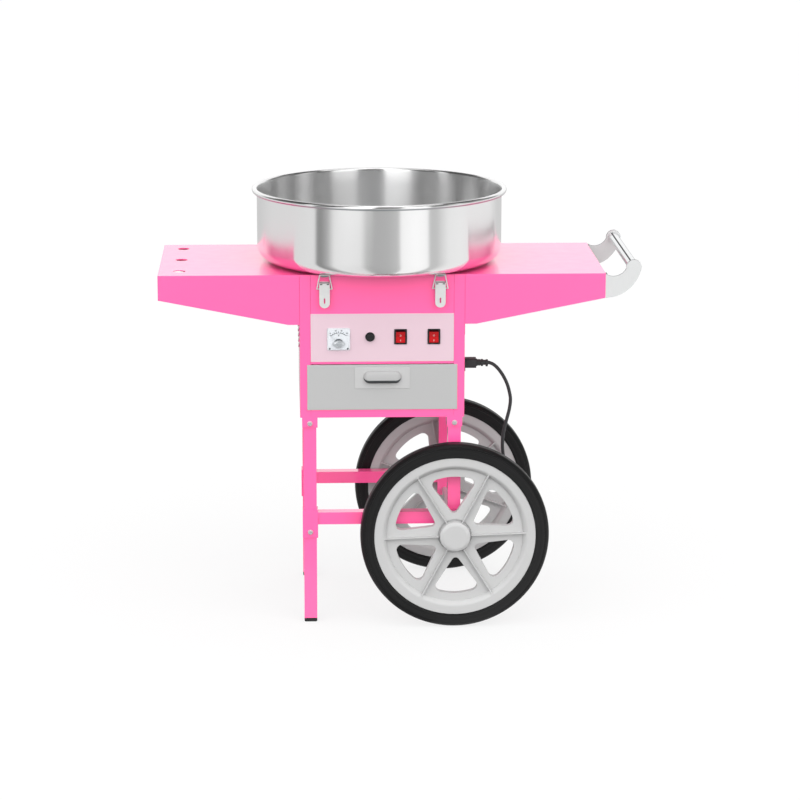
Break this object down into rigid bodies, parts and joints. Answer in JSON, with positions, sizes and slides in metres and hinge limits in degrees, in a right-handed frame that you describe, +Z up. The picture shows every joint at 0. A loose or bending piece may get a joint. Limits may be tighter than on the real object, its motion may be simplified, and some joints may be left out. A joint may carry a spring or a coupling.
{
  "type": "cotton candy cart",
  "caption": "Pink sheet-steel candy floss cart: round steel bowl over a cabinet with a drawer, side shelves, push handle, straight legs and spoked wheels.",
  "frame": {"origin": "on the floor under the middle of the cart's overall box, its cord left out", "axes": "+X from the cone shelf towards the handle, +Y from the control panel towards the back, +Z up"},
  "size_m": [0.966, 0.52, 0.874],
  "materials": {
    "pink_paint": "gloss powder coat",
    "pale_pink_paint": "satin printed plate",
    "drawer_grey": "satin sheet",
    "pull_steel": "pressed satin plate",
    "handle_steel": "satin plate and tube",
    "bowl_steel": "polished spun stainless",
    "latch_steel": "bright plated",
    "zinc": "bright zinc plated",
    "rim_plastic": "moulded light grey",
    "tyre": "moulded rubber",
    "black_plastic": "moulded",
    "red_plastic": "moulded rocker",
    "white_plastic": "moulded dial case",
    "clear_cover": "clear moulded cover",
    "needle_black": "thin painted pointer",
    "cord_black": "flexible sheath",
    "motor_steel": "motor casing",
    "inner_zinc": "plain sheet",
    "head_aluminium": "turned",
    "heater": "heat-tinted ribbon"
  },
  "bodies": {
    "cart": {"base_pan": "pink_paint", "side_panel_left": "pink_paint", "side_panel_right": "pink_paint", "back_panel": "pink_paint", "front_panel": "pink_paint", "top_plate": "pink_paint", "shelf_left": "pink_paint", "shelf_right": "pink_paint", "shelf_tops": "pink_paint", "leg_front_left": "pink_paint", "leg_back_left": "pink_paint", "leg_front_right": "pink_paint", "leg_back_right": "pink_paint", "stretchers": "pink_paint", "control_panel": "pale_pink_paint", "handle_brackets": "handle_steel", "handle_bar": "handle_steel", "foot_caps": "black_plastic", "axle": "zinc", "fasteners": "zinc", "bowl": "bowl_steel", "bowl_keepers": "latch_steel", "latch_bases": "latch_steel", "drawer_runners": "inner_zinc", "switch_frames": "black_plastic", "fuse_holder": "black_plastic", "meter_case": "white_plastic", "meter_lens": "clear_cover", "power_inlet": "black_plastic", "cord_connector": "cord_black", "cord_run": "cord_black", "cord_coil": "cord_black", "mains_plug": "cord_black", "motor": "motor_steel", "motor_bracket": "inner_zinc"},
    "wheel_front": {"rim_front": "rim_plastic", "tyre_front": "tyre", "hub_cap_front": "rim_plastic"},
    "wheel_back": {"rim_back": "rim_plastic", "tyre_back": "tyre", "hub_cap_back": "rim_plastic"},
    "spinner": {"spinner_shaft": "zinc", "spinner_pan": "head_aluminium", "spinner_cap": "head_aluminium", "heater_ring": "heater"},
    "drawer": {"drawer_tray": "inner_zinc", "drawer_front": "drawer_grey", "drawer_pull": "pull_steel"},
    "heat_switch": {"heat_rocker": "red_plastic"},
    "power_switch": {"power_rocker": "red_plastic"},
    "fuse": {"fuse_cap": "black_plastic"},
    "meter": {"meter_needle": "needle_black"},
    "lever_front_left": {"latch_lever_front_left": "latch_steel"},
    "lever_front_right": {"latch_lever_front_right": "latch_steel"},
    "lever_back_left": {"latch_lever_back_left": "latch_steel"},
    "lever_back_right": {"latch_lever_back_right": "latch_steel"},
    "bail_front_left": {"latch_bail_front_left": "latch_steel"},
    "bail_front_right": {"latch_bail_front_right": "latch_steel"},
    "bail_back_left": {"latch_bail_back_left": "latch_steel"},
    "bail_back_right": {"latch_bail_back_right": "latch_steel"}
  },
  "joints": [
    {"name": "wheel_front_spin", "type": "hinge", "parent": "cart", "child": "wheel_front", "pos_m": [0.11, -0.2027, 0.1915], "axis": [0, 1, 0], "continuous": true},
    {"name": "wheel_back_spin", "type": "hinge", "parent": "cart", "child": "wheel_back", "pos_m": [0.11, 0.2027, 0.1915], "axis": [0, 1, 0], "continuous": true},
    {"name": "spinner_spin", "type": "hinge", "parent": "cart", "child": "spinner", "pos_m": [-0.036, 0, 0.7], "axis": [0, 0, 1], "continuous": true},
    {"name": "drawer_slide", "type": "slide", "parent": "cart", "child": "drawer", "axis": [0, -1, 0], "range_m": [0, 0.26]},
    {"name": "heat_switch_rock", "type": "hinge", "parent": "cart", "child": "heat_switch", "pos_m": [0.00045, -0.176, 0.59702], "axis": [-1, 0, 0], "range_deg": [0, 20]},
    {"name": "power_switch_rock", "type": "hinge", "parent": "cart", "child": "power_switch", "pos_m": [0.06732, -0.176, 0.59702], "axis": [-1, 0, 0], "range_deg": [0, 20]},
    {"name": "fuse_cap_turn", "type": "hinge", "parent": "cart", "child": "fuse", "pos_m": [-0.06068, -0.18, 0.59702], "axis": [0, 1, 0], "range_deg": [0, 90]},
    {"name": "meter_needle_swing", "type": "hinge", "parent": "cart", "child": "meter", "pos_m": [-0.12354, -0.182, 0.58402], "axis": [0, 1, 0], "range_deg": [0, 90], "stiffness_Nm_per_rad": 0.0001},
    {"name": "latch_front_left_open", "type": "hinge", "parent": "cart", "child": "lever_front_left", "pos_m": [-0.1515, -0.184, 0.706], "axis": [-1, 0, 0], "range_deg": [0, 100]},
    {"name": "bail_front_left_swing", "type": "hinge", "parent": "lever_front_left", "child": "bail_front_left", "pos_m": [-0.1515, -0.184, 0.696], "axis": [1, 0, 0], "range_deg": [0, 140]},
    {"name": "latch_front_right_open", "type": "hinge", "parent": "cart", "child": "lever_front_right", "pos_m": [0.0795, -0.184, 0.706], "axis": [-1, 0, 0], "range_deg": [0, 100]},
    {"name": "bail_front_right_swing", "type": "hinge", "parent": "lever_front_right", "child": "bail_front_right", "pos_m": [0.0795, -0.184, 0.696], "axis": [1, 0, 0], "range_deg": [0, 140]},
    {"name": "latch_back_left_open", "type": "hinge", "parent": "cart", "child": "lever_back_left", "pos_m": [-0.1515, 0.184, 0.706], "axis": [1, 0, 0], "range_deg": [0, 100]},
    {"name": "bail_back_left_swing", "type": "hinge", "parent": "lever_back_left", "child": "bail_back_left", "pos_m": [-0.1515, 0.184, 0.696], "axis": [-1, 0, 0], "range_deg": [0, 140]},
    {"name": "latch_back_right_open", "type": "hinge", "parent": "cart", "child": "lever_back_right", "pos_m": [0.0795, 0.184, 0.706], "axis": [1, 0, 0], "range_deg": [0, 100]},
    {"name": "bail_back_right_swing", "type": "hinge", "parent": "lever_back_right", "child": "bail_back_right", "pos_m": [0.0795, 0.184, 0.696], "axis": [-1, 0, 0], "range_deg": [0, 140]}
  ],
  "couplings": [
    {"joint": "bail_front_left_swing", "follows": "latch_front_left_open", "ratio": 1.4},
    {"joint": "bail_front_right_swing", "follows": "latch_front_right_open", "ratio": 1.4},
    {"joint": "bail_back_left_swing", "follows": "latch_back_left_open", "ratio": 1.4},
    {"joint": "bail_back_right_swing", "follows": "latch_back_right_open", "ratio": 1.4}
  ]
}
